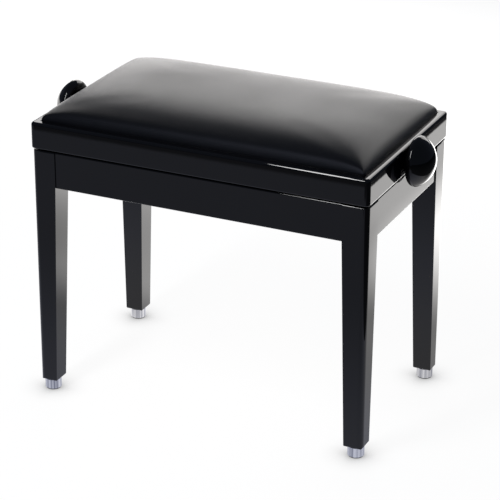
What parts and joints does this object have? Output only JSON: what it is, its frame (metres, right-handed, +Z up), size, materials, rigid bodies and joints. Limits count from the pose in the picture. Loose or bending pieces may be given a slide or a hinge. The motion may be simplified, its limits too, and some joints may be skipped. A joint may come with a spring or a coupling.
{
  "type": "piano bench",
  "caption": "Height-adjustable piano bench: padded seat in a black frame on tapered legs, raised by a screw-driven scissor lift with a knob at each side.",
  "frame": {"origin": "on the floor, under the middle of the bench, centred between the knobs", "axes": "+X runs along the bench to the right as seen from the front, -Y is the front, +Z is up"},
  "size_m": [0.64, 0.325, 0.489],
  "materials": {
    "black_lacquer": "high gloss black lacquer",
    "bare_wood": "unfinished beech and plywood",
    "leather": "satin black leather",
    "zinc_steel": "bright zinc plated",
    "dark_steel": "blackened steel",
    "brass": "turned brass",
    "foot_aluminium": "turned, lightly polished",
    "foot_pad": "dark felt-like rubber pad",
    "knob_plastic": "polished black",
    "roller_nylon": "natural nylon"
  },
  "bodies": {
    "base": {"leg_front_left": "black_lacquer", "leg_front_right": "black_lacquer", "leg_rear_left": "black_lacquer", "leg_rear_right": "black_lacquer", "apron_front": "black_lacquer", "apron_rear": "black_lacquer", "apron_left": "black_lacquer", "apron_right": "black_lacquer", "apron_dowels": "bare_wood", "corner_block_front_left": "bare_wood", "corner_block_front_right": "bare_wood", "corner_block_rear_left": "bare_wood", "corner_block_rear_right": "bare_wood", "leg_bolts": "zinc_steel", "foot_inserts": "brass", "foot_front_left": "foot_aluminium", "foot_front_right": "foot_aluminium", "foot_rear_left": "foot_aluminium", "foot_rear_right": "foot_aluminium", "foot_pads": "foot_pad", "lower_rail_front": "zinc_steel", "lower_rail_rear": "zinc_steel", "lower_rail_screws": "dark_steel"},
    "seat": {"seat_rail_front": "black_lacquer", "seat_rail_rear": "black_lacquer", "seat_rail_left": "black_lacquer", "seat_rail_right": "black_lacquer", "seat_corner_blocks": "bare_wood", "seat_board": "bare_wood", "cushion": "leather", "upper_rail_front": "zinc_steel", "upper_rail_rear": "zinc_steel", "upper_rail_screws": "dark_steel", "board_screws": "dark_steel", "bush_left": "brass", "bush_right": "brass"},
    "outer_arms": {"outer_arm_front": "zinc_steel", "outer_arm_rear": "zinc_steel", "lower_cross_shaft": "dark_steel", "centre_pins": "dark_steel", "pivot_washers": "zinc_steel"},
    "inner_arms": {"inner_arm_front": "dark_steel", "inner_arm_rear": "dark_steel", "upper_pivot_pins": "dark_steel", "roller_shaft": "dark_steel", "roller_spacers": "zinc_steel"},
    "nut": {"nut_bar": "dark_steel"},
    "lower_roller_front": {"lower_roller_front": "roller_nylon"},
    "lower_roller_rear": {"lower_roller_rear": "roller_nylon"},
    "upper_roller_front": {"upper_roller_front": "roller_nylon"},
    "upper_roller_rear": {"upper_roller_rear": "roller_nylon"},
    "spindle": {"spindle": "zinc_steel", "collar_left": "zinc_steel", "collar_right": "zinc_steel", "collar_screws": "dark_steel", "knob_left": "knob_plastic", "knob_right": "knob_plastic", "knob_screws": "dark_steel"}
  },
  "joints": [
    {"name": "seat_lift", "type": "slide", "parent": "base", "child": "seat", "axis": [0, 0, 1], "range_m": [0, 0.1]},
    {"name": "outer_arms_swing", "type": "hinge", "parent": "base", "child": "outer_arms", "pos_m": [-0.2, 0, 0.397], "axis": [0, -1, 0], "range_deg": [0, 14.66]},
    {"name": "inner_arms_swing", "type": "hinge", "parent": "seat", "child": "inner_arms", "pos_m": [-0.2, 0, 0.432], "axis": [0, 1, 0], "range_deg": [0, 14.66]},
    {"name": "nut_level", "type": "hinge", "parent": "outer_arms", "child": "nut", "pos_m": [0.19847, 0, 0.432], "axis": [0, 1, 0], "range_deg": [0, 14.66]},
    {"name": "lower_roller_front_turn", "type": "hinge", "parent": "inner_arms", "child": "lower_roller_front", "pos_m": [0.19847, -0.1405, 0.397], "axis": [0, 1, 0], "range_deg": [-170.88, 0]},
    {"name": "lower_roller_rear_turn", "type": "hinge", "parent": "inner_arms", "child": "lower_roller_rear", "pos_m": [0.19847, 0.1405, 0.397], "axis": [0, 1, 0], "range_deg": [-170.88, 0]},
    {"name": "upper_roller_front_turn", "type": "hinge", "parent": "nut", "child": "upper_roller_front", "pos_m": [0.19847, -0.1405, 0.432], "axis": [0, 1, 0], "range_deg": [0, 156.22]},
    {"name": "upper_roller_rear_turn", "type": "hinge", "parent": "nut", "child": "upper_roller_rear", "pos_m": [0.19847, 0.1405, 0.432], "axis": [0, 1, 0], "range_deg": [0, 156.22]},
    {"name": "spindle_turn", "type": "hinge", "parent": "seat", "child": "spindle", "pos_m": [0, 0, 0.432], "axis": [1, 0, 0], "range_deg": [0, 2617.47]}
  ],
  "couplings": [
    {"joint": "outer_arms_swing", "follows": "seat_lift", "rad_per_m": 2.5541},
    {"joint": "inner_arms_swing", "follows": "seat_lift", "rad_per_m": 2.5541},
    {"joint": "nut_level", "follows": "seat_lift", "rad_per_m": 2.5541},
    {"joint": "lower_roller_front_turn", "follows": "seat_lift", "rad_per_m": -29.765},
    {"joint": "lower_roller_rear_turn", "follows": "seat_lift", "rad_per_m": -29.765},
    {"joint": "upper_roller_front_turn", "follows": "seat_lift", "rad_per_m": 27.211},
    {"joint": "upper_roller_rear_turn", "follows": "seat_lift", "rad_per_m": 27.211},
    {"joint": "spindle_turn", "follows": "seat_lift", "rad_per_m": 455.92}
  ]
}
